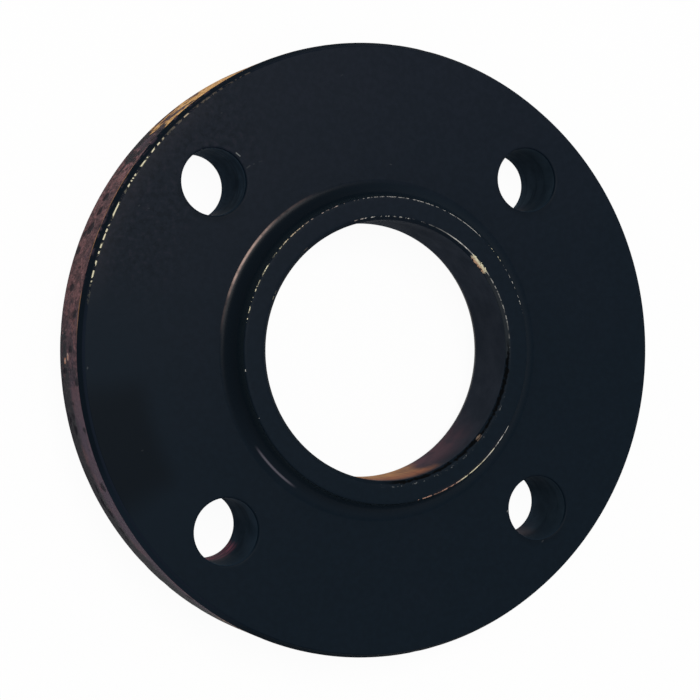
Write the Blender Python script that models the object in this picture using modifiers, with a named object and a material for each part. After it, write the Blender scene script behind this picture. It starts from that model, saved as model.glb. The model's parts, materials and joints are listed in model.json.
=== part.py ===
"""A lap joint flange: one forged and turned steel ring with a low hub and four bolt holes.

It lies flat on its mating face with the hub up. The origin is the centre of the mating face,
and +Z runs along the bore, out through the hub.
"""

import math

import bpy
from mathutils import Vector

MM = 0.001

# Bolt holes: they straddle the X and Y axes, and their edges are broken round at both faces
HOLE_COUNT = 4
HOLE_DIAMETER = 19.1 * MM
BOLT_CIRCLE_DIAMETER = 139.7 * MM
HOLE_EDGE_RADIUS = 0.6 * MM
CUTTER_OVERRUN = 3.0 * MM

# Ring: the rim keeps a land of steel outside the bolt holes, which makes the outside 180 mm across
RIM_LAND = 10.6 * MM
OUTSIDE_DIAMETER = BOLT_CIRCLE_DIAMETER + HOLE_DIAMETER + 2 * RIM_LAND
RING_THICKNESS = 22.8 * MM
RIM_CHAMFER_DEPTH = 1.4 * MM
RIM_CHAMFER_HEIGHT = 3.3 * MM
RIM_BLEND_RADIUS = 1.5 * MM
FACE_BLEND_RADIUS = 0.5 * MM
MATING_EDGE_RADIUS = 0.6 * MM

# Hub: its wall and taper are counted outwards from the bore, and its height from the bolting face
HUB_WALL = 6.8 * MM
HUB_TAPER = 0.75 * MM
HUB_HEIGHT = 6.2 * MM
HUB_FILLET_RADIUS = 5.2 * MM
HUB_EDGE_RADIUS = 0.5 * MM

# Bore: the lap radius seats the inner corner of the stub end that the flange turns on
BORE_DIAMETER = 75.4 * MM
BORE_CHAMFER = 1.1 * MM
BORE_BLEND_RADIUS = 0.4 * MM
LAP_RADIUS = 9.0 * MM

# How finely round shapes are faceted, and how near two points count as one
TURNED_STEPS = 120
HOLE_STEPS = 40
HOLE_EDGE_STEPS = 2
CHORD_ERROR = 0.04 * MM
WELD_DISTANCE = 0.01 * MM

# The share of a side that the blends at its two ends may take up together
LARGEST_BLEND_SHARE = 0.98

PAINT_COLOUR = (0.009, 0.013, 0.019, 1.0)
PAINT_ROUGHNESS = 0.5
CUTTER_COLOUR = (0.8, 0.2, 0.1, 1.0)


def clear_scene():
    for obj in list(bpy.data.objects):
        bpy.data.objects.remove(obj, do_unlink=True)


def add_collection(name):
    collection = bpy.data.collections.new(name)
    bpy.context.scene.collection.children.link(collection)
    return collection


def add_material(name, colour):
    material = bpy.data.materials.new(name)
    material.diffuse_color = colour
    material.use_nodes = True
    shader = material.node_tree.nodes["Principled BSDF"]
    shader.inputs["Base Color"].default_value = colour
    shader.inputs["Roughness"].default_value = PAINT_ROUGHNESS
    shader.inputs["Metallic"].default_value = 0.0
    return material


def half_angle(before, corner, after):
    return (before - corner).angle(after - corner) / 2


def blend_reaches(points, radii):
    """How far each corner's blend runs along its two sides, less where a side is short for both its ends."""
    count = len(points)
    wanted = [
        radii[i] / math.tan(half_angle(points[i - 1], points[i], points[(i + 1) % count]))
        for i in range(count)
    ]
    reaches = list(wanted)
    for i in range(count):
        after = (i + 1) % count
        taken = wanted[i] + wanted[after]
        room = LARGEST_BLEND_SHARE * (points[after] - points[i]).length
        if taken > room:
            reaches[i] = min(reaches[i], wanted[i] * room / taken)
            reaches[after] = min(reaches[after], wanted[after] * room / taken)
    return reaches


def blend(before, corner, after, reach):
    """The points of an arc that is tangent to both sides of a corner."""
    half = half_angle(before, corner, after)
    radius = reach * math.tan(half)
    incoming = (before - corner).normalized()
    outgoing = (after - corner).normalized()
    centre = corner + (incoming + outgoing).normalized() * (reach / math.cos(half))
    start = corner + incoming * reach - centre
    end = corner + outgoing * reach - centre
    widest_step = 2 * math.acos(1 - min(CHORD_ERROR / radius, 1.0))
    steps = math.ceil((math.pi - 2 * half) / widest_step)
    return [centre + start.slerp(end, step / steps) * radius for step in range(steps + 1)]


def blended_outline(corners):
    """A closed outline from pairs of a corner and its blend radius."""
    points = [Vector(point) for point, radius in corners]
    reaches = blend_reaches(points, [radius for point, radius in corners])
    outline = []
    for i, corner in enumerate(points):
        outline += blend(points[i - 1], corner, points[(i + 1) % len(points)], reaches[i])
    return outline


def section_outline():
    """The ring's section: from the bore's chamfer over the hub, down the rim and in along the mating face."""
    bore_radius = BORE_DIAMETER / 2
    rim_radius = OUTSIDE_DIAMETER / 2
    hub_top_radius = bore_radius + HUB_WALL
    hub_top = RING_THICKNESS + HUB_HEIGHT
    return blended_outline(
        [
            ((bore_radius, hub_top - BORE_CHAMFER), BORE_BLEND_RADIUS),
            ((bore_radius + BORE_CHAMFER, hub_top), BORE_BLEND_RADIUS),
            ((hub_top_radius, hub_top), HUB_EDGE_RADIUS),
            ((hub_top_radius + HUB_TAPER, RING_THICKNESS), HUB_FILLET_RADIUS),
            ((rim_radius - RIM_CHAMFER_DEPTH, RING_THICKNESS), FACE_BLEND_RADIUS),
            ((rim_radius, RING_THICKNESS - RIM_CHAMFER_HEIGHT), RIM_BLEND_RADIUS),
            ((rim_radius, 0.0), MATING_EDGE_RADIUS),
            ((bore_radius, 0.0), LAP_RADIUS),
        ]
    )


def hole_cutter_outline():
    """The outside of a drill that widens at each face, and stays that wide beyond it."""
    hole_radius = HOLE_DIAMETER / 2
    top = RING_THICKNESS + HUB_HEIGHT + CUTTER_OVERRUN
    flare = []
    for step in range(HOLE_EDGE_STEPS + 1):
        angle = math.pi / 2 * step / HOLE_EDGE_STEPS
        radius = hole_radius + HOLE_EDGE_RADIUS * (1 - math.cos(angle))
        depth = HOLE_EDGE_RADIUS * (1 - math.sin(angle))
        flare.append((radius, depth))
    widest_radius = hole_radius + HOLE_EDGE_RADIUS
    return [
        (0.0, top),
        (widest_radius, top),
        *((radius, RING_THICKNESS - depth) for radius, depth in reversed(flare)),
        *flare,
        (widest_radius, -CUTTER_OVERRUN),
        (0.0, -CUTTER_OVERRUN),
    ]


def add_turned(name, outline, steps, closed, collection):
    """An object that turns an outline of (radius, height) points round its Z axis.

    A closed outline makes a ring, and an open one has both its ends on the axis.
    """
    mesh = bpy.data.meshes.new(name)
    edges = [(i, i + 1) for i in range(len(outline) - 1)]
    if closed:
        edges.append((len(outline) - 1, 0))
    mesh.from_pydata([(radius, 0.0, height) for radius, height in outline], edges, [])
    obj = bpy.data.objects.new(name, mesh)
    collection.objects.link(obj)
    screw = obj.modifiers.new("turned", "SCREW")
    screw.axis = "Z"
    screw.angle = 2 * math.pi
    screw.steps = steps
    screw.render_steps = steps
    screw.use_smooth_shade = True
    screw.use_merge_vertices = not closed
    screw.merge_threshold = WELD_DISTANCE
    return obj


def add_hole_cutters(collection):
    outline = hole_cutter_outline()
    material = add_material("cutter_red", CUTTER_COLOUR)
    radius = BOLT_CIRCLE_DIAMETER / 2
    for number in range(HOLE_COUNT):
        angle = 2 * math.pi * (number + 0.5) / HOLE_COUNT
        cutter = add_turned(
            f"bolt_hole_cutter_{number + 1}", outline, HOLE_STEPS, False, collection
        )
        cutter.location = (radius * math.cos(angle), radius * math.sin(angle), 0.0)
        cutter.rotation_euler.z = angle
        cutter.data.materials.append(material)
        cutter.hide_render = True
        cutter.display_type = "WIRE"


def add_flange(collection, cutters):
    flange = add_turned("flange", section_outline(), TURNED_STEPS, True, collection)
    flange.data.materials.append(add_material("black_paint", PAINT_COLOUR))
    drilled = flange.modifiers.new("drilled", "BOOLEAN")
    drilled.operation = "DIFFERENCE"
    drilled.solver = "EXACT"
    drilled.operand_type = "COLLECTION"
    drilled.collection = cutters
    flange.modifiers.new("flat faces shaded flat", "WEIGHTED_NORMAL")


def main():
    clear_scene()
    pieces = add_collection("lap_joint_flange")
    cutters = add_collection("bolt_hole_cutters")
    add_hole_cutters(cutters)
    add_flange(pieces, cutters)


main()
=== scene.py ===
"""Dresses a lap joint flange: a finely turned ring in worn black paint, on a pale studio floor.

The ring lies on its mating face with the hub up. Sizes are in metres. The patterns of the paint are worked
out in millimetres, and their bearings are degrees round the Z axis from the X axis.
"""

import json
import math

import bmesh
import bpy
from bpy.props import FloatProperty, FloatVectorProperty, IntProperty, PointerProperty
from bpy.types import Operator, Panel, PropertyGroup
from mathutils import Matrix, Vector, noise


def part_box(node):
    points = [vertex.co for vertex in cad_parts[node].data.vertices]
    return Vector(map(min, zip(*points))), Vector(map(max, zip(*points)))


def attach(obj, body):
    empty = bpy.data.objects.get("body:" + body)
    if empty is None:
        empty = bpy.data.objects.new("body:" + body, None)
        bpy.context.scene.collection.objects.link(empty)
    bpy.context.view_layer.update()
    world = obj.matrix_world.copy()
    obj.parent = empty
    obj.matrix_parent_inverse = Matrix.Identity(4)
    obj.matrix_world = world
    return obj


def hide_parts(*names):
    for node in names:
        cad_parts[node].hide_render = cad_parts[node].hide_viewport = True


bl_info = {
    "name": "Lap Joint Flange",
    "version": (1, 0, 0),
    "blender": (4, 5, 0),
    "location": "3D View > Sidebar > Flange",
    "description": "Turns a lap joint flange in worn black paint and sets it on a pale studio floor",
    "category": "Object",
}

MM = 0.001

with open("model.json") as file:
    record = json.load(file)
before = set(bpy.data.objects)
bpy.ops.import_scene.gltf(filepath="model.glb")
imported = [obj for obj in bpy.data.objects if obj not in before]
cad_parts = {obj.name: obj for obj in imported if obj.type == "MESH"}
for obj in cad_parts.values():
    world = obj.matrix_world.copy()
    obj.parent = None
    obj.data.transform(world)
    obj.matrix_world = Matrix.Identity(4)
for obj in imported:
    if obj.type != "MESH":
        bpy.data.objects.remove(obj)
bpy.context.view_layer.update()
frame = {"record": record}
FLANGE_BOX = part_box("flange")
MOUNT_HEIGHTS = {mount["name"]: mount["pos_m"][2] for mount in frame["record"]["mounts"]}
FLANGE_WIDTH = FLANGE_BOX[1][0] - FLANGE_BOX[0][0]
FLANGE_LENGTH = FLANGE_BOX[1][2] - FLANGE_BOX[0][2]

# How finely the ring and its drills are turned, and how near two points count as one
STEPS_ROUND = 480
HOLE_STEPS_ROUND = 64
WELD = 0.005 * MM

# The rim is turned this much smaller than the solid's, so that rounding never takes it past the solid's box
ROUNDING = 0.002 * MM

# Radii that break the section's corners
BORE_BLEND = 0.4 * MM
HUB_EDGE_BLEND = 0.5 * MM
FACE_BLEND = 0.5 * MM
RIM_BLEND = 1.5 * MM
MATING_EDGE_BLEND = 0.6 * MM

# An edge lies along a side of the section if it is this nearly parallel, as a cosine, and this near
PARALLEL = 0.9999
ON_SIDE = 0.02 * MM

# A side is left uncut if it is shorter than this many times its spacing
SHORT_SIDE = 1.5

# The drills: segments of a hole's broken edge, points down each mark, and how far they reach past the ring
HOLE_EDGE_SEGMENTS = 4
POINTS_PER_MARK = 3
DRILL_OVERRUN = 10 * MM

# Pits in the rim's side: how many per mm, how far one reaches as a share of the way to the next, how steep it
# is, and how little its height counts, which draws it out up the rim
PITS_PER_MM = 0.2
PIT_REACH = 0.34
PIT_STEEPNESS = 3.0
PIT_STRETCH = 0.5

# Broad hollows between the pits: how many per mm, their fractal's increment, lacunarity and octaves, and how
# deep they are beside the pits
HOLLOWS_PER_MM = 0.16
HOLLOW_FRACTAL = (0.9, 2.1, 4)
HOLLOW_DEPTH = 0.3

# The larger dents in the rim's side: bearing, height and half width in mm, and how flat they are
RIM_DENTS = (
    (155.3, 8.4, 1.5, 0.45), (152.0, 10.0, 1.1, 0.45), (149.2, 8.6, 1.2, 0.45), (177.6, 12.5, 1.3, 0.45),
    (181.5, 5.5, 1.2, 0.45), (206.8, 6.0, 2.3, 1.5), (208.8, 7.8, 2.4, 1.4), (203.6, 7.0, 1.3, 1.0),
    (212.4, 8.0, 1.2, 1.0), (192.4, 7.7, 1.1, 0.8), (190.7, 4.2, 0.9, 0.8),
)
DENT_STEEPNESS = 2.2
DENT_RAGGEDNESS = 0.5

# How far the rim's marks run past its side, and how far in from there they grow to their full depth
RIM_MARGIN = 0.5 * MM
RIM_FADE = 1.5 * MM

# Stretches of an edge that are worn, along the face's and the hub's edges partly as a painted highlight: the
# bearing, the angles each side of it at which the wear is full and at which it ends, and how far it is worn
FACE_EDGE_WEAR_AND_HIGHLIGHT = (
    (157.0, 7.5, 9.0, 0.6), (141.5, 5.0, 6.5, 0.42), (130.0, 0.6, 1.4, 0.7), (124.0, 9.0, 13.0, 0.4),
)
HUB_EDGE_WEAR_AND_HIGHLIGHT = (
    (158.0, 7.0, 13.0, 0.5), (147.5, 1.5, 4.0, 0.65), (131.0, 7.0, 14.0, 0.52), (112.0, 3.0, 8.0, 0.32),
    (86.0, 13.0, 20.0, 0.54), (69.0, 5.0, 9.0, 0.36), (55.0, 5.0, 9.0, 0.8), (28.0, 12.0, 18.0, 0.38),
    (-40.0, 6.0, 10.0, 0.7), (-53.0, 8.0, 12.0, 0.85), (-71.0, 8.0, 12.0, 0.56),
)
BORE_EDGE_WEAR = (
    (99.0, 3.0, 8.0, 0.45), (86.0, 7.0, 11.0, 0.45), (54.0, 8.0, 24.0, 0.9), (20.0, 14.0, 24.0, 0.6),
    (154.0, 1.0, 3.0, 0.5), (131.0, 1.0, 3.0, 0.5), (-44.0, 1.0, 2.5, 0.8),
)
BORE_CHIPS = ((39.4, 3.0, 6.0, 1.0), (-44.0, 0.3, 2.0, 0.3))
# Painted highlight tinted like rubbed primer where the hub's fillet starts, listed like the stretches above
FILLET_SCUFFS_AND_HIGHLIGHTS = (
    (147.0, 1.0, 15.5, 1.0), (143.5, 4.0, 17.5, 0.75), (136.0, 3.0, 26.0, 0.14), (157.0, 4.0, 17.0, 0.11),
)

# Chips in the paint of the rim's side: their bearings, and their heights in mm
RIM_CHIPS = ((179.8, 6.2), (179.0, 9.4))

# Scratches in the paint of the bolting face: from one place to another in mm, and how clear they are
FACE_SCRATCHES = (
    ((-42.6, 57.5), (-41.5, 56.6), 0.36), ((-39.6, 53.2), (-38.6, 53.9), 0.05),
    ((-37.6, 54.3), (-37.3, 54.4), 0.03), ((-35.8, 55.0), (-34.9, 55.2), 0.015),
    ((4.7, 54.2), (5.1, 54.1), 0.04), ((-9.8, 79.8), (-9.3, 80.1), 0.02),
    ((-73.3, -25.1), (-73.0, -25.0), 0.03), ((-71.7, 42.8), (-71.4, 43.0), 0.035),
    ((-69.0, 42.1), (-68.7, 42.1), 0.03), ((-46.7, 68.7), (-46.4, 68.8), 0.03),
    ((50.5, -59.8), (50.9, -59.4), 0.06), ((39.1, -49.9), (39.3, -49.5), 0.3),
    ((-87.9, -1.7), (-87.8, -1.3), 0.09),
)
SCRATCH_WIDTH = 0.21

# The bolt holes with a painted shadow on the face below them, by the signs of their X and Y
SHADOWED_HOLES = ((-1, 1), (1, 1), (1, -1))

# The finishes' specular levels: how much of the room they mirror at a low angle
FACE_SHEEN = 0.05
SLOPE_SHEEN = 0.003
FILLET_SHEEN = 0.045
WALL_SHEEN = 0.003
RIM_SHEEN = 0.01

# The finishes, in the order of the ring's material slots
FACES, FILLET, WALLS, RIM = range(4)

# The floor: how far it reaches each way, and how far it is lifted towards white where it is seen directly.
# The rest is left for the shadow
FLOOR_REACH = 3.0
FLOOR_ROUGHNESS = 0.9
FLOOR_LIFT = 0.96

# The strip lamp's length and width, and the camera's nearest and farthest clip
LAMP_SIZE = (0.4, 0.12)
LAMP_COLOUR = (1.0, 0.96, 0.94)
SENSOR_WIDTH_MM = 36.0
CAMERA_CLIP = (0.01, 100.0)


def length(name, description, default):
    return FloatProperty(
        name=name, description=description, default=default, min=0.0, subtype="DISTANCE", unit="LENGTH"
    )


def colour(name, description, default):
    return FloatVectorProperty(
        name=name, description=description, default=default, min=0.0, max=1.0, size=3, subtype="COLOR"
    )


def position(name, description, default):
    return FloatVectorProperty(
        name=name, description=description, default=default, subtype="TRANSLATION", unit="LENGTH"
    )


class FlangeSizes(PropertyGroup):
    outside_diameter: length("Outside Diameter", "Across the rim", FLANGE_WIDTH)
    total_length: length("Length", "From the mating face to the hub's face", FLANGE_LENGTH)
    ring_thickness: length(
        "Ring Thickness", "From the mating face to the bolting face", MOUNT_HEIGHTS["bolting_face"]
    )
    rim_chamfer_depth: length("Rim Chamfer Depth", "How far the chamfer runs in on the face", 1.4 * MM)
    rim_chamfer_height: length("Rim Chamfer Height", "How far the chamfer runs down the rim", 3.3 * MM)
    rim_pit_depth: length("Rim Pit Depth", "How deep the rim's pits are", 0.3 * MM)
    bore_diameter: length("Bore", "Across the bore", 75.4 * MM)
    bore_chamfer: length("Bore Chamfer", "The chamfer at the bore's front edge", 1.1 * MM)
    hub_wall: length("Hub Wall", "From the bore to the hub's outside, at its face", 6.8 * MM)
    hub_taper: length("Hub Taper", "How far the hub widens down to the bolting face", 0.75 * MM)
    hub_fillet: length("Hub Fillet", "Radius between the hub and the bolting face", 5.2 * MM)
    lap_radius: length("Lap Radius", "Radius that seats the stub end at the mating face", 9.0 * MM)
    bolt_circle_diameter: length("Bolt Circle", "Across the circle of the bolt holes", 139.7 * MM)
    hole_diameter: length("Bolt Hole", "Across a bolt hole", 19.1 * MM)
    hole_edge: length("Hole Edge", "Radius of a bolt hole's broken edge", 0.6 * MM)
    drill_pitch: length("Drill Pitch", "From one drill mark to the next down a bolt hole", 1.3 * MM)
    drill_depth: length("Drill Marks", "How deep the drill marks are", 0.03 * MM)
    hole_count: IntProperty(name="Bolt Holes", description="How many bolt holes", default=4, min=2)


class FlangeFinish(PropertyGroup):
    paint: colour("Paint", "Blue-black paint", (0.0042, 0.0094, 0.0160))
    # The paint lighter and warmer where light falls on it, as painted light; also the painted sheen on the
    # chamfer and the painted highlight on the holes' lips
    paint_lit: colour("Warm Paint", "The paint where it has weathered", (0.0076, 0.0114, 0.0190))
    hole_paint: colour("Hole Paint", "The paint inside the bolt holes", (0.036, 0.064, 0.098))
    # Pale grey: the painted reflection of the floor low in the bolt holes, and the paler band by the face's
    # edge
    pale_grey: colour("Hole Dust", "Pale dust low in the bolt holes", (0.110, 0.092, 0.100))
    fillet_paint: colour("Fillet Paint", "The paint of the hub's fillet", (0.0062, 0.0112, 0.0176))
    # The hub's wall made lighter to offset its shade: painted light
    hub_wall_lit_paint: colour("Hub Paint", "The thinner paint of the hub's wall", (0.013, 0.021, 0.028))
    scratch: colour("Scratch", "Scratches in the paint", (0.40, 0.42, 0.41))
    streak: colour("Streak", "Rusty water marks in a bolt hole", (0.36, 0.125, 0.18))
    bore_paint: colour("Bore Paint", "The paint inside the bore", (0.029, 0.037, 0.052))
    chamfer_paint: colour("Chamfer Paint", "The paint of the rim's chamfer", (0.0052, 0.0094, 0.0149))
    rim_brown: colour("Rim Brown", "Oxide on the rim", (0.150, 0.0745, 0.079))
    rim_mauve: colour("Rim Mauve", "Thin paint over the oxide", (0.059, 0.043, 0.061))
    rim_grey: colour("Rim Grey", "Dull scale on the rim", (0.032, 0.036, 0.041))
    # Yellow rust low in the bore, partly a painted warm reflection on the wall that faces up
    bore_gold: colour("Bore Gold", "Yellow rust low in the bore", (0.60, 0.32, 0.15))
    # Dark scale in the rim's pits, also the painted shade along the rim's bottom edge
    rim_scale_and_shade: colour("Rim Scale", "Scale left in the rim's pits", (0.012, 0.010, 0.016))
    rim_hatch: colour("Rim Hatch", "Dark marks in the yellow rust", (0.080, 0.024, 0.027))
    # Yellow rust on the rim, partly a painted warm highlight where the rim faces the light
    tan: colour("Tan", "The palest of the yellow rust", (0.84, 0.50, 0.20))
    ochre: colour("Ochre", "Yellow rust on the rim", (0.56, 0.29, 0.09))
    # Bright steel: partly worn steel, partly a painted highlight where the light catches the edges
    bare_steel_and_highlight: colour("Bare Steel", "Steel worn bright at the edges", (0.82, 0.77, 0.54))
    dull_steel: colour("Dull Steel", "Steel worn dull along the hub's edges", (0.66, 0.65, 0.61))
    rust: colour("Rust", "Rust along the worn edges", (0.42, 0.18, 0.10))
    # Primer that shows at the rim's chips, and the tint of the painted highlight where the hub's fillet
    # starts
    scuff_and_highlight: colour("Scuff", "Primer that shows through where the paint is rubbed", (0.43, 0.31, 0.27))
    # A painted highlight: a grey arc low on the hub's fillet towards bearing -137
    low_fillet_highlight: colour("Low Scuff", "Paint rubbed grey low on the hub's fillet", (0.103, 0.098, 0.122))


class FlangeStage(PropertyGroup):
    camera_place: position("Camera", "Where the camera stands", (-0.22083, 0.01003, 0.54073))
    camera_target: position("Target", "What the camera looks at", (-0.00994, 0.00047, 0.0228))
    camera_roll: FloatProperty(
        name="Roll", description="Turn of the camera about its own axis", default=math.radians(1.96),
        subtype="ANGLE", unit="ROTATION",
    )
    camera_lens: FloatProperty(
        name="Lens", description="Focal length on a 36 mm sensor", default=99.32, subtype="DISTANCE_CAMERA"
    )
    floor_colour: colour("Floor", "Pale studio floor", (0.86, 0.86, 0.86))
    key_watts: FloatProperty(
        name="Key Lamp", description="Power of the strip lamp overhead", default=4.0, subtype="POWER"
    )
    key_place: position("Key Place", "Middle of the strip lamp", (0.006, 0.235, 0.85))
    key_along: FloatVectorProperty(
        name="Key Direction", description="Which way the strip lamp runs", default=(0.225, 0.262, -0.075),
        subtype="XYZ",
    )
    world_level: FloatProperty(name="Room Light", description="Level of the light all round", default=0.5)


def new_object(name, data):
    obj = bpy.data.objects.new(name, data)
    bpy.context.scene.collection.objects.link(obj)
    return obj


def new_mesh(name, bm):
    mesh = bpy.data.meshes.new(name)
    bm.to_mesh(mesh)
    bm.free()
    return mesh


def on_circle(radius, degrees, height):
    angle = math.radians(degrees)
    return (radius * math.cos(angle), radius * math.sin(angle), height)


def scaled(tint, share):
    """A colour made darker or lighter."""
    return tuple(share * value for value in tint)


def section_corners(sizes):
    """The ring's section, corner by corner.

    Each corner is (radius, height, blend radius, segments of the blend, spacing of points on the next side).
    """
    bore = sizes.bore_diameter / 2
    rim = sizes.outside_diameter / 2 - ROUNDING
    hub = bore + sizes.hub_wall
    top = sizes.total_length
    face = sizes.ring_thickness
    return [
        (bore, top - sizes.bore_chamfer, BORE_BLEND, 2, 0.4 * MM),
        (bore + sizes.bore_chamfer, top, BORE_BLEND, 2, 0.6 * MM),
        (hub, top, HUB_EDGE_BLEND, 4, 0.6 * MM),
        (hub + sizes.hub_taper, face, sizes.hub_fillet, 14, 1.1 * MM),
        (rim - sizes.rim_chamfer_depth, face, FACE_BLEND, 4, 0.6 * MM),
        (rim, face - sizes.rim_chamfer_height, RIM_BLEND, 4, 0.62 * MM),
        (rim, 0.0, MATING_EDGE_BLEND, 4, 2.4 * MM),
        (bore, 0.0, sizes.lap_radius, 12, 0.9 * MM),
    ]


def edges_along(bm, start, end):
    """The edges that lie on the straight side from start to end."""
    along = (end - start).normalized()
    return [
        edge for edge in bm.edges
        if abs((edge.verts[1].co - edge.verts[0].co).normalized().dot(along)) > PARALLEL
        and all((vert.co - start).cross(along).length < ON_SIDE for vert in edge.verts)
    ]


def section_loop(corners):
    """A bmesh of the section's closed outline: its corners rounded, and its sides cut to their spacing."""
    bm = bmesh.new()
    bm.faces.new([bm.verts.new((radius, 0.0, height)) for radius, height, *_ in corners])
    places = [vert.co.copy() for vert in bm.verts]
    afters = places[1:] + places[:1]
    for i, (*_, blend, segments, _) in enumerate(corners):
        place = places[i]
        angle = (places[i - 1] - place).angle(afters[i] - place)
        corner = min(bm.verts, key=lambda vert: (vert.co - place).length)
        bmesh.ops.bevel(
            bm, geom=[corner], offset=blend / math.tan(angle / 2), offset_type="OFFSET", affect="VERTICES",
            segments=segments, profile=0.5, material=-1,
        )
    bmesh.ops.delete(bm, geom=list(bm.faces), context="FACES_ONLY")
    for start, end, (*_, spacing) in zip(places, afters, corners):
        side = [edge for edge in edges_along(bm, start, end) if edge.calc_length() > SHORT_SIDE * spacing]
        if side:
            longest = max(side, key=lambda edge: edge.calc_length())
            cuts = round(longest.calc_length() / spacing) - 1
            bmesh.ops.subdivide_edges(bm, edges=[longest], cuts=cuts)
    return bm


def turn_round(bm, steps):
    """Spins the outline in bm once round the Z axis and closes its seam."""
    bmesh.ops.spin(
        bm, geom=list(bm.verts) + list(bm.edges), cent=(0.0, 0.0, 0.0), axis=(0.0, 0.0, 1.0),
        dvec=(0.0, 0.0, 0.0), angle=2 * math.pi, steps=steps, use_merge=True,
    )
    bmesh.ops.remove_doubles(bm, verts=list(bm.verts), dist=WELD)
    bmesh.ops.recalc_face_normals(bm, faces=list(bm.faces))


def drill_outline(sizes):
    """A drill's outline as (radius, height): wider at each face to break its edge, and ringed between."""
    radius = sizes.hole_diameter / 2
    edge = sizes.hole_edge
    face = sizes.ring_thickness
    wide = radius + edge
    turns = [math.pi / 2 * step / HOLE_EDGE_SEGMENTS for step in range(HOLE_EDGE_SEGMENTS + 1)]
    outline = [(0.0, -DRILL_OVERRUN), (wide, -DRILL_OVERRUN)]
    outline += [(wide - edge * math.sin(turn), edge * (1 - math.cos(turn))) for turn in turns]
    points = POINTS_PER_MARK * round((face - 2 * edge) / sizes.drill_pitch)
    for point in range(1, points):
        height = edge + (face - 2 * edge) * point / points
        mark = sizes.drill_depth * (1 - math.cos(2 * math.pi * height / sizes.drill_pitch)) / 2
        outline.append((radius - mark, height))
    outline += [(radius + edge * (1 - math.cos(turn)), face - edge + edge * math.sin(turn)) for turn in turns]
    return outline + [(wide, face + DRILL_OVERRUN), (0.0, face + DRILL_OVERRUN)]


def add_drill(sizes, index):
    """A drill, standing where it cuts one bolt hole."""
    bm = bmesh.new()
    verts = [bm.verts.new((radius, 0.0, height)) for radius, height in drill_outline(sizes)]
    for first, second in zip(verts, verts[1:]):
        bm.edges.new((first, second))
    turn_round(bm, HOLE_STEPS_ROUND)
    angle = 2 * math.pi * (index + 0.5) / sizes.hole_count
    place = Matrix.Rotation(angle, 4, "Z") @ Matrix.Translation((sizes.bolt_circle_diameter / 2, 0.0, 0.0))
    bmesh.ops.transform(bm, matrix=place, verts=list(bm.verts))
    return new_object(f"drill_{index + 1}", new_mesh(f"drill_{index + 1}", bm))


def drill_holes(ring, sizes):
    """Takes the bolt holes out of the ring and gives it the cut mesh."""
    drills = [add_drill(sizes, index) for index in range(sizes.hole_count)]
    for drill in drills:
        cut = ring.modifiers.new(drill.name, "BOOLEAN")
        cut.operation = "DIFFERENCE"
        cut.solver = "EXACT"
        cut.object = drill
    depsgraph = bpy.context.evaluated_depsgraph_get()
    mesh = bpy.data.meshes.new_from_object(ring.evaluated_get(depsgraph))
    ring.modifiers.clear()
    plain = ring.data
    ring.data = mesh
    bpy.data.meshes.remove(plain)
    for drill in drills:
        drill_mesh = drill.data
        bpy.data.objects.remove(drill)
        bpy.data.meshes.remove(drill_mesh)


def pit_share(place, rim):
    """How deep the rim's side is marked at a place in mm, from 0 to 1."""
    along = Vector((place.x, place.y, place.z * PIT_STRETCH))
    hollow = noise.fractal(along * HOLLOWS_PER_MM, *HOLLOW_FRACTAL)
    from_pit = noise.voronoi(along * PITS_PER_MM)[0][0]
    pit = PIT_STEEPNESS * max(0.0, PIT_REACH - from_pit) + HOLLOW_DEPTH * max(0.0, hollow)
    share = max(0.0, min(1.0, pit))
    for bearing, height, width, flat in RIM_DENTS:
        dent = Vector(on_circle(rim, bearing, height))
        apart = Vector((place.x - dent.x, place.y - dent.y, flat * (place.z - dent.z))).length
        dented = DENT_STEEPNESS * (1 - (apart + DENT_RAGGEDNESS * hollow) / width)
        share = max(share, min(1.0, dented))
    return share


def roughen_rim(ring, sizes):
    """Sinks pits and dents into the rim's side, and keeps each point's share of that as rim_pit."""
    rim = sizes.outside_diameter / 2
    chamfer = sizes.ring_thickness - sizes.rim_chamfer_height
    pits = ring.data.attributes.new("rim_pit", "FLOAT", "POINT")
    shares = []
    for vert in ring.data.vertices:
        radius = Vector((vert.co.x, vert.co.y)).length
        share = 0.0
        if radius > rim - RIM_MARGIN and vert.co.z < chamfer + RIM_MARGIN:
            share = pit_share(vert.co / MM, rim / MM)
            fade = min(1.0, vert.co.z / RIM_FADE, max(0.0, (chamfer + RIM_MARGIN - vert.co.z) / RIM_FADE))
            inward = share * fade * sizes.rim_pit_depth / radius
            vert.co.x -= vert.co.x * inward
            vert.co.y -= vert.co.y * inward
        shares.append(share)
    pits.data.foreach_set("value", shares)


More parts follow.
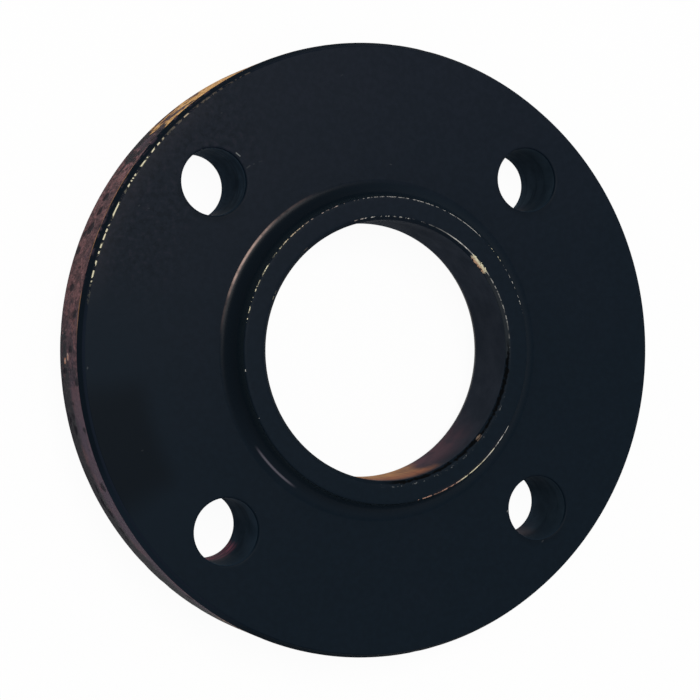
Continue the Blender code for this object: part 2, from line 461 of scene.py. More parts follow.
class ShaderGraph:
    """A material whose nodes are added by short calls.

    Each value may be a number, a colour or another node's output. The place, x, y, z and radius are in mm.
    """

    def __init__(self, name):
        self.material = bpy.data.materials.new(name)
        self.material.use_nodes = True
        self.tree = self.material.node_tree
        self.shader = self.tree.nodes["Principled BSDF"]
        coordinates = self.tree.nodes.new("ShaderNodeTexCoord")
        in_mm = self.tree.nodes.new("ShaderNodeMapping")
        in_mm.inputs["Scale"].default_value = (1 / MM, 1 / MM, 1 / MM)
        self.tree.links.new(coordinates.outputs["Object"], in_mm.inputs["Vector"])
        self.place = in_mm.outputs["Vector"]
        split = self.tree.nodes.new("ShaderNodeSeparateXYZ")
        self.tree.links.new(self.place, split.inputs[0])
        self.x, self.y, self.z = split.outputs
        self.radius = self.distance(self.x, self.y)
        self.bearing = self.math("ARCTAN2", self.y, self.x)

    def feed(self, socket, value):
        if isinstance(value, bpy.types.NodeSocket):
            self.tree.links.new(value, socket)
        elif socket.type == "RGBA":
            socket.default_value = (*value, 1.0)
        else:
            socket.default_value = value

    def math(self, operation, first, second=0.0):
        node = self.tree.nodes.new("ShaderNodeMath")
        node.operation = operation
        self.feed(node.inputs[0], first)
        self.feed(node.inputs[1], second)
        return node.outputs[0]

    def chain(self, operation, values):
        total = values[0]
        for value in values[1:]:
            total = self.math(operation, total, value)
        return total

    def plus(self, *values):
        return self.chain("ADD", values)

    def times(self, *values):
        return self.chain("MULTIPLY", values)

    def most(self, *values):
        return self.chain("MAXIMUM", values)

    def minus(self, first, second):
        return self.math("SUBTRACT", first, second)

    def distance(self, across, up):
        return self.math("SQRT", self.plus(self.times(across, across), self.times(up, up)))

    def rise(self, value, low, high, start=0.0, end=1.0):
        """Goes smoothly from start to end while the value goes from low to high."""
        node = self.tree.nodes.new("ShaderNodeMapRange")
        node.interpolation_type = "SMOOTHSTEP"
        self.feed(node.inputs["Value"], value)
        for name, number in (("From Min", low), ("From Max", high), ("To Min", start), ("To Max", end)):
            node.inputs[name].default_value = number
        return node.outputs["Result"]

    def mix(self, factor, first, second):
        node = self.tree.nodes.new("ShaderNodeMix")
        node.data_type = "RGBA"
        self.feed(node.inputs[0], factor)
        self.feed(node.inputs[6], first)
        self.feed(node.inputs[7], second)
        return node.outputs[2]

    def coats(self, ground, *coats):
        """A ground colour with coats over it, each given as how far it covers and its own colour."""
        for cover, tint in coats:
            ground = self.mix(cover, ground, tint)
        return ground

    def noise(self, per_mm, detail=3.0, roughness=0.55, stretch=(1.0, 1.0, 1.0), shift=0.0):
        mapping = self.tree.nodes.new("ShaderNodeMapping")
        mapping.inputs["Scale"].default_value = stretch
        mapping.inputs["Location"].default_value = (shift, shift, shift)
        self.feed(mapping.inputs["Vector"], self.place)
        node = self.tree.nodes.new("ShaderNodeTexNoise")
        node.inputs["Scale"].default_value = per_mm
        node.inputs["Detail"].default_value = detail
        node.inputs["Roughness"].default_value = roughness
        self.feed(node.inputs["Vector"], mapping.outputs["Vector"])
        return node.outputs["Fac"]

    def attribute(self, name):
        node = self.tree.nodes.new("ShaderNodeAttribute")
        node.attribute_name = name
        return node.outputs["Fac"]

    def vector_math(self, operation, first, second):
        node = self.tree.nodes.new("ShaderNodeVectorMath")
        node.operation = operation
        self.feed(node.inputs[0], first)
        self.feed(node.inputs["Scale" if operation == "SCALE" else 1], second)
        return node.outputs["Value" if operation in ("DOT_PRODUCT", "DISTANCE") else "Vector"]

    def ring_distance(self, radius, height):
        """Distance in mm from a circle round the Z axis."""
        return self.distance(self.minus(self.radius, radius), self.minus(self.z, height))

    def hole_distance(self, along, hole_offset):
        """Distance in mm along X or Y from the middle of the nearest bolt hole."""
        return self.minus(along, self.times(self.math("SIGN", along), hole_offset))

    def facing(self, degrees, full, none, wander=0.0):
        """1 within the angle full of a bearing round the Z axis, 0 beyond the angle none.

        The limits may wander to and fro, by a value round 0 in radians.
        """
        angle = math.radians(degrees)
        ahead = self.plus(self.times(self.x, math.cos(angle)), self.times(self.y, math.sin(angle)))
        cosine = self.math("DIVIDE", ahead, self.radius)
        if isinstance(wander, bpy.types.NodeSocket):
            cosine = self.plus(cosine, self.times(wander, math.sin(math.radians(none))))
        return self.rise(cosine, math.cos(math.radians(none)), math.cos(math.radians(full)))

    def arcs(self, stretches):
        """The level of the nearest of several stretches of the circle, as FACE_EDGE_WEAR_AND_HIGHLIGHT lists them."""
        return self.most(*(self.times(self.facing(*angles), level) for *angles, level in stretches))

    def spot(self, centre, size, ragged=0.0):
        """1 round a point, with an edge that wanders in and out by the length ragged."""
        distance = self.vector_math("DISTANCE", self.place, centre)
        if ragged:
            distance = self.plus(distance, self.times(self.minus(self.noise(0.9, 3.0, 0.6), 0.5), 2 * ragged))
        return self.rise(distance, 1.15 * size, 0.7 * size)

    def scratch(self, start, end, width):
        """1 along the straight line from one point to another."""
        run = Vector(end) - Vector(start)
        from_start = self.vector_math("SUBTRACT", self.place, start)
        share = self.times(self.vector_math("DOT_PRODUCT", from_start, run), 1 / run.length_squared)
        share = self.math("MAXIMUM", self.math("MINIMUM", share, 1.0), 0.0)
        nearest = self.vector_math("SCALE", run, share)
        return self.rise(self.vector_math("DISTANCE", from_start, nearest), width, 0.5 * width)

    def broken_edge_line(self, distance, width, wear, pattern):
        """1 along an edge where metal shows, and where a glint is painted: the more it is worn there, the
        less the line is broken.
        """
        shows = self.rise(self.plus(pattern, self.times(wear, 0.36)), 0.66, 0.72)
        return self.times(self.rise(distance, width, 0.6 * width), shows)

    def painted(self, tint, roughness, sheen, height, metallic=0.0):
        """The finished material. Its height in mm is bump alone."""
        bump = self.tree.nodes.new("ShaderNodeBump")
        bump.inputs["Distance"].default_value = MM
        self.feed(bump.inputs["Height"], height)
        for name, value in (
            ("Base Color", tint), ("Roughness", roughness), ("Specular IOR Level", sheen),
            ("Metallic", metallic), ("Normal", bump.outputs["Normal"]),
        ):
            self.feed(self.shader.inputs[name], value)
        return self.material


class Section:
    """The radii and heights of the section that the finishes follow, in mm."""

    def __init__(self, sizes):
        self.rim = sizes.outside_diameter / 2 / MM
        self.face = sizes.ring_thickness / MM
        self.top = sizes.total_length / MM
        self.bore = sizes.bore_diameter / 2 / MM
        self.hub = self.bore + sizes.hub_wall / MM
        self.chamfer = self.face - sizes.rim_chamfer_height / MM
        self.face_edge = self.rim - sizes.rim_chamfer_depth / MM
        self.fillet_edge = self.hub + (sizes.hub_taper + 0.88 * sizes.hub_fillet) / MM
        # How far the middle of a bolt hole is from the X axis, and from the Y axis
        self.hole_offset = sizes.bolt_circle_diameter / 2 / MM * math.sqrt(0.5)
        # Where one finish gives way to the next, on the rounded corners between them
        self.chamfer_start = self.face_edge + 0.35
        self.rim_start = self.rim - 0.7
        self.bore_end = self.bore + 0.05
        self.hub_start = self.hub + 0.02
        self.hub_end = self.top - 0.4
        self.hole_end = sizes.hole_diameter / 2 / MM + 0.2

    def finish_at(self, place):
        """Which of the ring's finishes a place in mm has."""
        radius = Vector(place[:2]).length
        from_hole = Vector((abs(place.x) - self.hole_offset, abs(place.y) - self.hole_offset)).length
        if radius > self.chamfer_start and place.z > self.chamfer:
            return WALLS
        if radius > self.rim_start:
            return RIM
        if from_hole < self.hole_end or radius < self.bore_end:
            return WALLS
        if self.hub_start < radius < self.fillet_edge and self.face < place.z < self.hub_end:
            return FILLET
        return FACES


def paint_colour(g, finish):
    """Blue-black paint, painted lighter and warmer towards the upper-left where the light comes from, with a
    faint fine mottle.
    """
    # Painted light: the paint lighter and warmer towards the upper-left, where the light comes from
    lit_side = g.rise(g.minus(g.y, g.times(g.x, 0.25)), -35.0, 100.0)
    clouds = g.noise(0.05, 3.0, 0.5)
    mottle = g.rise(g.noise(0.6, 4.0, 0.62, shift=11.0), 0.66, 0.36)
    return g.coats(
        finish.paint,
        (g.plus(lit_side, g.times(g.minus(clouds, 0.5), 0.6)), finish.paint_lit),
        (g.times(mottle, 0.3), scaled(finish.paint, 0.6)),
    )


def face_edge_wear_and_highlight(g, s):
    """Along the edge of the bolting face: bright dashes of worn steel, partly a painted highlight, and a
    faint broken line that is a painted glint.
    """
    line = g.ring_distance(s.face_edge + 0.1, s.face - 0.26)
    drift = g.noise(0.11, 2.0, 0.6, shift=7.0)
    turned = g.math("SINE", g.plus(g.times(g.bearing, 188.0), g.times(drift, 34.0)))
    beads = g.plus(g.times(turned, 0.23), g.noise(0.5, 2.0, 0.5, shift=9.0))
    wear = g.arcs(FACE_EDGE_WEAR_AND_HIGHLIGHT)
    # Painted highlight: the dashes strongest towards bearing 153, the side the light comes from
    bright = g.most(g.facing(153.0, 16.0, 18.0), g.times(g.facing(130.0, 0.6, 1.2), 0.7), 0.08)
    dashes = g.times(g.broken_edge_line(line, 0.31, wear, beads), g.rise(wear, 0.03, 0.25), bright)
    # Painted glint: a faint line along the edge towards bearing 144
    faint_beads = g.plus(g.times(turned, 0.1), g.noise(1.3, 3.0, 0.6, shift=37.0))
    faint = g.times(g.broken_edge_line(line, 0.5, 0.42, faint_beads), g.facing(144.0, 20.0, 27.0), 0.13)
    return g.most(dashes, faint)


def hub_edge_wear_and_highlight(g, line):
    """Where steel shows along the outer edge of the hub's face, partly a painted highlight, wider low down
    and fainter at the top.
    """
    widened = g.times(g.facing(-57.0, 17.0, 24.0), 0.12)
    pattern = g.noise(0.9, 3.0, 0.65, shift=19.0)
    wear = g.broken_edge_line(g.minus(line, widened), 0.18, g.arcs(HUB_EDGE_WEAR_AND_HIGHLIGHT), pattern)
    return g.times(wear, g.rise(g.facing(76.0, 28.0, 38.0), 0.0, 1.0, 1.0, 0.55))


def bore_edge_wear(g, s):
    """Where steel shows along the bore's chamfer: clear at the top and beside the chip, faint elsewhere."""
    line = g.ring_distance(s.bore + 0.95, s.top - 0.05)
    wear = g.broken_edge_line(line, 0.2, g.arcs(BORE_EDGE_WEAR), g.noise(1.0, 3.0, 0.65, shift=33.0))
    at_top = g.facing(92.0, 13.0, 18.0)
    beside_chip = g.most(g.facing(48.5, 1.5, 14.0), g.times(g.facing(24.0, 9.0, 20.0), 0.6))
    return g.times(wear, g.most(at_top, beside_chip, 0.2))


def worn_metal(g, s, finish, chip):
    """What shows where the paint is gone: dull steel, bright in places, partly as a painted highlight, and
    rust in others.
    """
    # Brighter steel at the chips, on the face's edge and towards bearings 150 and -55: partly a painted
    # highlight
    bright = g.most(
        g.rise(chip, 0.0, 0.5), g.facing(150.0, 22.0, 30.0), g.facing(-55.0, 4.0, 9.0),
        g.rise(g.radius, 50.0, 60.0),
    )
    rusty = g.most(
        g.times(g.facing(-76.0, 11.0, 17.0), 0.8), g.times(g.facing(118.0, 10.0, 22.0), 0.4),
        g.times(g.rise(g.radius, s.bore + 2.0, s.bore + 1.0), g.facing(-44.0, 3.0, 5.0), 0.6),
        g.times(chip, g.rise(g.radius, s.bore + 0.9, s.bore + 0.3), 0.75),
    )
    return g.coats(finish.dull_steel, (bright, finish.bare_steel_and_highlight), (rusty, finish.rust))


def face_paint(s, finish):
    """The paint of the flat faces, worn to the steel along the turned edges, with painted shade near the rim
    and below three holes, and painted sheen and highlights along the edges.
    """
    g = ShaderGraph("blue_black_paint")
    darker = scaled(finish.paint, 0.5)
    blotches = g.noise(0.55, 4.0, 0.65, shift=57.0)
    weathered = g.times(
        g.facing(142.0, 12.0, 30.0), g.rise(g.radius, 60.0, 76.0), g.rise(g.z, s.face - 1.0, s.face)
    )
    # Painted shade: the face darker near the rim towards bearings 194 to 197, deepest at 196.5
    shaded_side = g.times(g.facing(194.0, 16.0, 34.0), g.rise(g.radius, 58.0, 82.0), 0.75)
    deepest_shade = g.times(g.facing(196.5, 7.0, 15.0), g.rise(g.radius, 68.0, 76.0), 0.8)
    # Painted shadow on the face just below three of the bolt holes
    shadow_centres = ((x * s.hole_offset, y * s.hole_offset - 2.0, s.face) for x, y in SHADOWED_HOLES)
    shadow_below_holes = g.most(*(g.spot(centre, 9.5) for centre in shadow_centres))
    # Paler towards the face's edge on the upper-left side
    paler_edge_band = g.times(g.facing(146.0, 16.0, 26.0), g.rise(g.radius, 82.0, 89.0), 0.05)
    slope = g.times(
        g.rise(g.z, s.face - 0.02, s.face - 0.14), g.rise(g.radius, s.face_edge - 1.0, s.face_edge)
    )
    scratches = g.most(
        *(
            g.times(g.scratch((*start, s.face), (*end, s.face), SCRATCH_WIDTH), level)
            for start, end, level in FACE_SCRATCHES
        )
    )

    hub_line = g.ring_distance(s.hub - 0.12, s.top - 0.1)
    hub_dust = g.times(g.rise(hub_line, 1.1, 0.2), g.facing(-55.0, 14.0, 22.0), 0.055)
    chip = g.arcs(BORE_CHIPS)
    chip_line = g.ring_distance(s.bore + 0.5, s.top - 0.5)
    crumbled = g.noise(1.1, 4.0, 0.75, shift=31.0)
    chipped = g.rise(g.minus(chip_line, g.times(chip, g.rise(crumbled, 0.36, 0.6), 0.95)), 0.12, 0.0)
    bore_dust = g.times(g.rise(chip_line, 1.0, 0.3), g.facing(14.0, 14.0, 24.0), 0.045)
    # Painted shade: a dark jagged line along the bore's chamfer towards bearing -46
    jagged_distance = g.plus(g.ring_distance(s.bore + 0.6, s.top - 0.45), g.times(g.noise(0.45, 4.0, 0.7), 3.2))
    jagged_shade_line = g.times(g.rise(jagged_distance, 2.15, 1.9), g.facing(-46.0, 40.0, 52.0))
    flaked = g.times(
        g.rise(g.ring_distance(s.bore + 1.7, s.top), 0.3, 0.1), g.facing(-58.0, 30.0, 40.0),
        g.rise(crumbled, 0.55, 0.65), 0.3,
    )
    uneven = g.rise(g.noise(0.35, 3.0, 0.6, shift=83.0), 0.36, 0.6, 0.35, 1.2)
    hub_and_bore = g.times(g.most(hub_edge_wear_and_highlight(g, hub_line), bore_edge_wear(g, s)), uneven)
    # Worn steel along the edges; along the face's and the hub's edges it is partly a painted highlight
    worn = g.most(face_edge_wear_and_highlight(g, s), hub_and_bore, g.times(chipped, chip))

    tint = g.coats(
        paint_colour(g, finish),
        (g.times(weathered, g.rise(blotches, 0.5, 0.62), 0.5), darker),
        (g.times(weathered, g.rise(blotches, 0.46, 0.36), 0.08), finish.rim_mauve),
        (shaded_side, finish.paint),
        (deepest_shade, darker),
        (g.times(shadow_below_holes, 0.65), darker),
        (paler_edge_band, finish.pale_grey),
        # Painted sheen: the chamfer's first strip lightened towards bearing 202
        (g.times(slope, g.facing(202.0, 26.0, 40.0)), scaled(finish.paint_lit, 1.35)),
        (hub_dust, finish.rim_brown),
        (scratches, finish.scratch),
        (bore_dust, finish.scratch),
        (jagged_shade_line, scaled(finish.paint, 0.1)),
        (flaked, finish.scratch),
        (worn, worn_metal(g, s, finish, chip)),
    )
    roughness = g.plus(0.38, g.times(g.noise(0.9, 3.0, 0.55, shift=5.0), 0.16))
    sheen = g.rise(slope, 0.0, 1.0, FACE_SHEEN, SLOPE_SHEEN)
    grain = g.noise(2.4, 2.0, 0.5, shift=23.0)
    height = g.plus(g.times(grain, 0.006), g.times(weathered, blotches, 0.03), g.times(scratches, -0.2))
    return g.painted(tint, roughness, sheen, height, g.times(worn, 0.25))


def fillet_paint(s, finish):
    """The smooth paint of the hub's fillet, darkened by painted shade, lighter up the hub's wall as painted
    light, and with a painted highlight tinted like rubbed primer where the fillet starts.
    """
    g = ShaderGraph("smooth_fillet_paint")
    # Painted shade: the fillet darkened inside its outer edge, strongest towards bearing 150
    fillet_shade = g.times(
        g.rise(g.radius, s.fillet_edge + 0.2, s.fillet_edge - 1.4), g.facing(150.0, 30.0, 85.0), 0.9
    )
    # Painted highlight: a grey arc low on the fillet towards bearing -137
    low_line = g.math("ABSOLUTE", g.minus(g.radius, s.hub + 3.1))
    greyed = g.times(g.rise(low_line, 0.45, 0.05), g.facing(-137.0, 3.0, 11.0))
    rubbed = g.noise(0.5, 3.0, 0.6, shift=61.0)
    outer_line = g.math("ABSOLUTE", g.minus(g.radius, s.fillet_edge - 0.3))
    # Painted highlight along the start of the fillet, tinted like rubbed primer
    highlight_line = g.times(
        g.rise(outer_line, 0.62, 0.05), g.arcs(FILLET_SCUFFS_AND_HIGHLIGHTS), g.rise(rubbed, 0.3, 0.6, 0.5, 1.0)
    )
    tint = g.coats(
        paint_colour(g, finish),
        (g.rise(g.radius, s.fillet_edge, s.fillet_edge - 2.0), finish.fillet_paint),
        (fillet_shade, scaled(finish.paint, 0.55)),
        # Painted light: the hub's wall lighter
        (g.rise(g.z, s.face + 1.8, s.face + 5.5), finish.hub_wall_lit_paint),
        (greyed, finish.low_fillet_highlight),
        (highlight_line, finish.scuff_and_highlight),
    )
    roughness = g.plus(0.22, g.times(rubbed, 0.12))
    return g.painted(tint, roughness, FILLET_SHEEN, g.times(g.noise(1.6, 2.0, 0.5), 0.004))


def wall_paint(s, finish):
    """The dull paint of the chamfer, the bore and the bolt holes, stained by rust at their lower ends, with
    painted light: sheen on the chamfer, shade and highlight at the holes' lips, and reflections in the bore
    and low in the holes.
    """
    g = ShaderGraph("wall_paint")
    stain = g.noise(0.16, 4.0, 0.6, shift=71.0)
    rings = g.noise(0.3, 4.0, 0.6, stretch=(0.12, 0.12, 1.0), shift=13.0)
    in_bore = g.rise(g.radius, s.hub + 8.0, s.hub + 4.0)
    inside = g.rise(g.radius, s.face_edge - 1.0, s.face_edge - 2.0)
    past_bore = g.minus(1.0, in_bore)
    in_hole = g.minus(inside, in_bore)

    red, green, blue = finish.hole_paint
    near_top, near_bottom = (0.86 * red, 0.82 * green, 0.77 * blue), (1.15 * red, 1.06 * green, blue)
    right_holes = g.mix(g.rise(g.z, 5.0, 19.0), near_bottom, near_top)
    hole_tint = g.mix(g.rise(g.x, -40.0, 45.0), finish.hole_paint, right_holes)
    # Painted reflection: the bore's wall lighter towards bearing 40
    sky_reflection = g.times(in_bore, g.facing(40.0, 12.0, 26.0), 0.2)
    ringed = g.times(past_bore, g.rise(rings, 0.46, 0.36), 0.6)
    across = g.hole_distance(g.x, s.hole_offset)
    # Painted shade at the lip of each bolt hole, with a painted highlight on the lip's side towards -X
    lip_shade = g.times(past_bore, g.rise(g.z, s.face - 0.9, s.face - 0.5))
    lip_shade_and_highlight = g.mix(g.rise(across, -1.0, 6.0), scaled(finish.paint_lit, 1.15), finish.paint)
    wall_tint = g.coats(
        hole_tint,
        (in_bore, finish.bore_paint),
        (sky_reflection, scaled(finish.bore_paint, 1.8)),
        (g.times(g.rise(stain, 0.3, 0.7), 0.3), paint_colour(g, finish)),
        (ringed, scaled(finish.hole_paint, 0.45)),
        (lip_shade, lip_shade_and_highlight),
    )

    # Painted sheen: the top of the chamfer lightened towards bearing 202
    chamfer_sheen = g.times(g.facing(202.0, 26.0, 40.0), g.rise(g.z, s.face - 1.25, s.face - 0.85))
    chamfer_tint = g.coats(
        finish.chamfer_paint,
        # Painted light: the chamfer lighter towards bearing 219
        (g.facing(219.0, 9.0, 24.0), scaled(finish.chamfer_paint, 1.75)),
        (chamfer_sheen, scaled(finish.paint_lit, 1.35)),
    )
    low_chamfer = g.times(g.minus(1.0, inside), g.rise(g.z, s.chamfer + 1.6, s.chamfer + 0.2))
    bled = g.times(
        low_chamfer, g.rise(g.noise(0.34, 4.0, 0.62, shift=3.0), 0.5, 0.56), g.facing(142.0, 16.0, 26.0)
    )

    wander = g.times(g.minus(g.noise(0.11, 4.0, 0.6, shift=27.0), 0.5), 0.4)
    runs = g.noise(0.9, 3.0, 0.6, stretch=(1.0, 1.0, 0.12), shift=29.0)
    stained = g.times(
        in_bore, g.rise(g.z, 29.0, 10.0), g.facing(-80.0, 10.0, 50.0, wander),
        g.rise(stain, 0.3, 0.55, 0.5, 1.0),
    )
    # Yellow rust low in the bore towards bearing -92.5, partly a painted warm reflection
    golden = g.times(
        in_bore, g.rise(g.z, 29.0, 22.0), g.facing(-92.5, 13.0, 28.0, wander),
        g.rise(runs, 0.3, 0.6, 0.6, 0.9),
    )

    below = g.hole_distance(g.y, s.hole_offset)
    hole_stain = g.times(
        in_hole, g.rise(below, -5.5, -8.5), g.rise(g.z, 13.0, 4.0), g.rise(stain, 0.3, 0.6), 0.3
    )
    low_wall = g.times(in_hole, g.rise(below, -3.0, -8.0), g.rise(g.z, 7.0, 14.0), 0.75)
    # Painted reflection of the floor on the lowest part of each hole's wall
    floor_reflection = g.times(in_hole, g.rise(below, -7.4, -9.3), g.rise(g.z, 15.0, 7.0), 0.6)
    rusty_hole = g.times(
        g.rise(g.x, 0.0, -20.0), g.rise(g.y, 0.0, -20.0), g.rise(below, -4.5, -7.0), g.rise(g.z, 10.0, 5.0)
    )
    streaks = g.noise(1.0, 3.0, 0.6, stretch=(0.12, 0.12, 1.0), shift=47.0)
    tint = g.coats(
        chamfer_tint,
        (inside, wall_tint),
        (stained, g.mix(0.5, finish.rim_brown, scaled(finish.rim_mauve, 1.7))),
        (golden, g.mix(g.rise(g.z, 12.0, 22.0), finish.bore_gold, finish.rust)),
        (g.times(bled, 0.8), finish.rim_mauve),
        (hole_stain, finish.rim_mauve),
        (low_wall, scaled(finish.hole_paint, 0.45)),
        (floor_reflection, finish.pale_grey),
        (g.times(in_hole, rusty_hole, g.rise(streaks, 0.46, 0.56)), finish.streak),
    )
    return g.painted(tint, g.plus(0.45, g.times(stain, 0.3)), WALL_SHEEN, g.times(rings, 0.05))


def rim_finish(s, finish):
    """The rim's side: oxide under thin paint, with dark scale in the pits, a patch of yellow rust that is
    partly a painted warm highlight, and painted shade along its bottom edge.
    """
    g = ShaderGraph("rusty_rim")
    blotches = g.noise(0.34, 4.0, 0.62, stretch=(1.0, 1.0, 0.5), shift=3.0)
    hatched = g.noise(0.2, 4.0, 0.6, stretch=(1.0, 1.0, 1.4), shift=51.0)
    grain = g.noise(1.1, 3.0, 0.6, stretch=(1.0, 1.0, 0.5), shift=17.0)
    patches = g.noise(0.09, 2.0, 0.5, shift=41.0)
    wander = g.times(g.minus(g.noise(0.11, 4.0, 0.6, shift=27.0), 0.5), 0.9)
    less_wander = g.times(wander, 0.5)

    reddest = g.facing(154.0, 12.0, 24.0, wander)
    wavy_height = g.plus(g.z, g.times(patches, 8.0), g.rise(g.y, -40.0, -75.0, 0.0, -9.0))
    greyed = g.times(g.rise(wavy_height, 15.0, 11.0), g.facing(210.0, 30.0, 38.0, wander))
    # Darker low on the rim towards bearings 195 to 202
    darker_low_side = g.times(
        greyed,
        g.most(g.times(g.facing(202.0, 22.0, 34.0), 0.35), g.times(g.facing(195.0, 7.0, 12.0), 0.6)),
    )
    calm = g.facing(212.0, 20.0, 32.0)
    rough = g.rise(calm, 0.0, 1.0, 1.0, 0.3)
    pale_mauve = scaled(finish.rim_mauve, 1.7)
    pale_brown = scaled(finish.rim_brown, 1.9)
    flushed = g.times(g.facing(148.0, 4.0, 9.0), g.rise(grain, 0.42, 0.6), 0.35)
    freckled = g.times(g.rise(grain, 0.54, 0.64), rough, g.most(g.times(reddest, 0.6), 0.25))
    mottled_side = g.facing(136.5, 3.5, 6.5, less_wander)
    mottled = g.most(mottled_side, g.times(rough, 0.5))
    scaly_side = g.facing(135.4, 2.2, 4.2, less_wander)
    browned = g.times(g.facing(141.0, 1.2, 3.4), g.rise(blotches, 0.49, 0.56), g.rise(g.z, 5.0, 10.0), 0.55)

    golden_side = g.facing(119.0, 11.4, 14.0, less_wander)
    sunlit = g.facing(121.0, 3.0, 9.0)
    unmarked = g.plus(hatched, g.rise(g.z, 3.0, s.chamfer, -0.05, 0.14), g.times(sunlit, 0.06))
    # Yellow rust, partly a painted warm highlight, half as strong towards bearing 107 as painted shade
    golden = g.times(
        golden_side, g.rise(unmarked, 0.44, 0.49), g.rise(g.facing(107.0, 5.0, 11.0), 0.0, 1.0, 1.0, 0.5)
    )
    speckled = g.times(g.rise(grain, 0.45, 0.36), rough, g.rise(sunlit, 0.0, 1.0, 0.6, 0.25))
    pitted = g.rise(g.attribute("rim_pit"), 0.2, 0.45)
    flecks = g.times(g.facing(247.0, 6.0, 14.0), g.rise(grain, 0.52, 0.6), g.rise(g.z, 6.0, 14.0))
    chamfer_line = g.ring_distance(s.rim - 0.1, s.chamfer - 0.3)
    rubbed = g.times(g.rise(chamfer_line, 0.5, 0.2), g.facing(158.0, 12.0, 19.0), g.rise(patches, 0.4, 0.6))
    chip = g.most(*(g.spot(on_circle(s.rim, bearing, height), 1.05, 1.3) for bearing, height in RIM_CHIPS))
    tint = g.coats(
        finish.rim_mauve,
        (g.most(reddest, g.times(g.rise(patches, 0.45, 0.6), 0.5)), finish.rim_brown),
        (greyed, finish.rim_grey),
        (darker_low_side, finish.rim_scale_and_shade),
        (g.times(g.facing(200.0, 8.0, 18.0), g.rise(g.z, 11.0, 15.0), 0.35), pale_mauve),
        (g.times(calm, g.rise(g.z, 9.5, 13.5), 0.4), pale_mauve),
        (flushed, pale_brown),
        (freckled, pale_brown),
        (g.times(g.rise(hatched, 0.53, 0.58), mottled_side, 0.4), pale_brown),
        (g.times(g.rise(blotches, 0.68, 0.56), scaly_side), finish.rim_scale_and_shade),
        (g.times(g.rise(blotches, 0.53, 0.48), mottled), finish.rim_scale_and_shade),
        (browned, pale_brown),
        (g.times(golden_side, 0.85), finish.rim_hatch),
        (golden, g.mix(g.rise(grain, 0.4, 0.6), finish.ochre, finish.tan)),
        (speckled, finish.rim_scale_and_shade),
        (g.times(pitted, 0.9), finish.rim_scale_and_shade),
        # Painted shade along the rim's bottom edge, where it meets the floor
        (g.rise(g.z, 1.5, 0.4, 0.0, 0.7), finish.rim_scale_and_shade),
        (g.times(flecks, 0.6), finish.tan),
        (g.times(rubbed, 0.4), finish.ochre),
        (chip, g.mix(g.rise(grain, 0.42, 0.6), finish.rust, finish.scuff_and_highlight)),
    )
    roughness = g.plus(0.42, g.times(blotches, 0.25))
    return g.painted(tint, roughness, RIM_SHEEN, g.plus(g.times(blotches, 0.25), g.times(grain, 0.12)))


def paint_ring(ring, sizes, finish):
    """Gives the ring its four finishes, each face by where it lies on the section."""
    section = Section(sizes)
    for finish_of in (face_paint, fillet_paint, wall_paint, rim_finish):
        ring.data.materials.append(finish_of(section, finish))
    for face in ring.data.polygons:
        face.material_index = section.finish_at(face.center / MM)


class FLANGE_OT_add_flange(Operator):
    """Turn the ring, drill its bolt holes and paint it"""

    bl_idname = "flange.add_flange"
    bl_label = "Add Flange"

    def execute(self, context):
        sizes = context.scene.flange_sizes
        bm = section_loop(section_corners(sizes))
        turn_round(bm, STEPS_ROUND)
        ring = new_object("painted_flange", new_mesh("painted_flange", bm))
        drill_holes(ring, sizes)
        ring.data.shade_smooth()
        shading = ring.modifiers.new("flat faces shaded flat", "WEIGHTED_NORMAL")
        shading.keep_sharp = True
        roughen_rim(ring, sizes)
        paint_ring(ring, sizes, context.scene.flange_finish)
        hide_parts("flange")
        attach(ring, "root")
        return {"FINISHED"}


def floor_material(stage):
    """Pale matt floor. Seen directly it is lifted towards white, and it still takes the shadow."""
    material = bpy.data.materials.new("pale_floor")
    material.use_nodes = True
    nodes, links = material.node_tree.nodes, material.node_tree.links
    shader = nodes["Principled BSDF"]
    shader.inputs["Base Color"].default_value = (*stage.floor_colour, 1.0)
    shader.inputs["Roughness"].default_value = FLOOR_ROUGHNESS
    shader.inputs["Specular IOR Level"].default_value = 0.0
    white = nodes.new("ShaderNodeEmission")
    paths = nodes.new("ShaderNodeLightPath")
    seen = paths.outputs["Is Camera Ray"]
    for ray in ("Is Glossy Ray", "Is Transmission Ray"):
        either = nodes.new("ShaderNodeMath")
        either.operation = "MAXIMUM"
        links.new(seen, either.inputs[0])
        links.new(paths.outputs[ray], either.inputs[1])
        seen = either.outputs[0]
    lifted = nodes.new("ShaderNodeMath")
    lifted.operation = "MULTIPLY"
    lifted.inputs[1].default_value = FLOOR_LIFT
    links.new(seen, lifted.inputs[0])
    mix = nodes.new("ShaderNodeMixShader")
    links.new(lifted.outputs[0], mix.inputs["Fac"])
    links.new(shader.outputs[0], mix.inputs[1])
    links.new(white.outputs[0], mix.inputs[2])
    links.new(mix.outputs[0], nodes["Material Output"].inputs["Surface"])
    return material


def add_floor(stage):
    bm = bmesh.new()
    bmesh.ops.create_grid(bm, x_segments=1, y_segments=1, size=FLOOR_REACH)
    floor = new_object("studio_floor", new_mesh("studio_floor", bm))
    floor.data.materials.append(floor_material(stage))


def frame_of(right, back):
    """A turn whose X axis runs along right and whose Z axis runs along back."""
    back = back.normalized()
    up = back.cross(right).normalized()
    return Matrix((up.cross(back), up, back)).transposed().to_4x4()


def add_strip_lamp(stage):
    """A strip lamp overhead, turned to the flange: it draws the thin light along the hub's fillet."""
    data = bpy.data.lights.new("strip_lamp", "AREA")
    data.shape = "RECTANGLE"
    data.size, data.size_y = LAMP_SIZE
    data.energy = stage.key_watts
    data.color = LAMP_COLOUR
    lamp = new_object("strip_lamp", data)
    place = Vector(stage.key_place)
    lamp.matrix_world = Matrix.Translation(place) @ frame_of(Vector(stage.key_along), place)


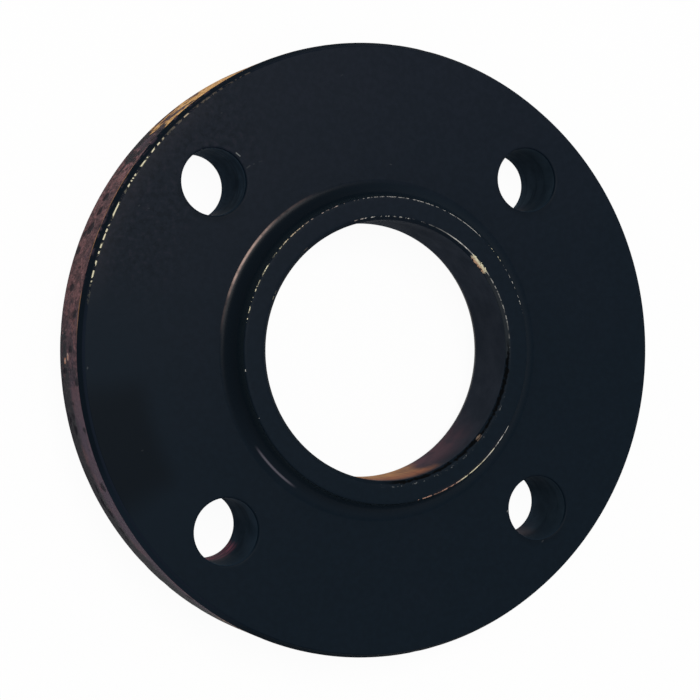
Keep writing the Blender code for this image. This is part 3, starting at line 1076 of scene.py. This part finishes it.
def add_camera(stage):
    """The camera looks down on the flange, with the Y axis up in its picture apart from its roll."""
    place, target = Vector(stage.camera_place), Vector(stage.camera_target)
    back = place - target
    turn = frame_of(Vector((0.0, 1.0, 0.0)).cross(back), back)
    data = bpy.data.cameras.new("photo_camera")
    data.sensor_width = SENSOR_WIDTH_MM
    data.lens = stage.camera_lens
    data.clip_start, data.clip_end = CAMERA_CLIP
    camera = new_object("photo_camera", data)
    camera.matrix_world = Matrix.Translation(place) @ turn @ Matrix.Rotation(-stage.camera_roll, 4, "Z")
    bpy.context.scene.camera = camera


def add_world(stage):
    """Even room light. Seen directly it is white, like the floor."""
    world = bpy.data.worlds.new("studio_world")
    world.use_nodes = True
    nodes, links = world.node_tree.nodes, world.node_tree.links
    background = nodes["Background"]
    background.inputs["Color"].default_value = (1.0, 1.0, 1.0, 1.0)
    paths = nodes.new("ShaderNodeLightPath")
    level = nodes.new("ShaderNodeMapRange")
    level.inputs["To Min"].default_value = stage.world_level
    level.inputs["To Max"].default_value = 1.0
    links.new(paths.outputs["Is Camera Ray"], level.inputs["Value"])
    links.new(level.outputs["Result"], background.inputs["Strength"])
    bpy.context.scene.world = world


class FLANGE_OT_add_stage(Operator):
    """Add the floor, the strip lamp, the room light and the camera"""

    bl_idname = "flange.add_stage"
    bl_label = "Add Stage"

    def execute(self, context):
        stage = context.scene.flange_stage
        add_floor(stage)
        add_strip_lamp(stage)
        add_world(stage)
        add_camera(stage)
        context.scene.view_settings.view_transform = "Standard"
        return {"FINISHED"}


class VIEW3D_PT_flange(Panel):
    bl_label = "Lap Joint Flange"
    bl_space_type = "VIEW_3D"
    bl_region_type = "UI"
    bl_category = "Flange"

    def draw(self, context):
        layout = self.layout
        for title, group in (
            ("Sizes", context.scene.flange_sizes),
            ("Finish", context.scene.flange_finish),
            ("Stage", context.scene.flange_stage),
        ):
            box = layout.box()
            box.label(text=title)
            for name in group.bl_rna.properties.keys():
                if name not in ("rna_type", "name"):
                    box.prop(group, name)
        layout.operator(FLANGE_OT_add_flange.bl_idname)
        layout.operator(FLANGE_OT_add_stage.bl_idname)


CLASSES = (
    FlangeSizes,
    FlangeFinish,
    FlangeStage,
    FLANGE_OT_add_flange,
    FLANGE_OT_add_stage,
    VIEW3D_PT_flange,
)


def register():
    for cls in CLASSES:
        bpy.utils.register_class(cls)
    bpy.types.Scene.flange_sizes = PointerProperty(type=FlangeSizes)
    bpy.types.Scene.flange_finish = PointerProperty(type=FlangeFinish)
    bpy.types.Scene.flange_stage = PointerProperty(type=FlangeStage)


def unregister():
    del bpy.types.Scene.flange_stage
    del bpy.types.Scene.flange_finish
    del bpy.types.Scene.flange_sizes
    for cls in reversed(CLASSES):
        bpy.utils.unregister_class(cls)


def main():
    register()
    bpy.ops.flange.add_flange()
    bpy.ops.flange.add_stage()


if __name__ == "__main__":
    main()
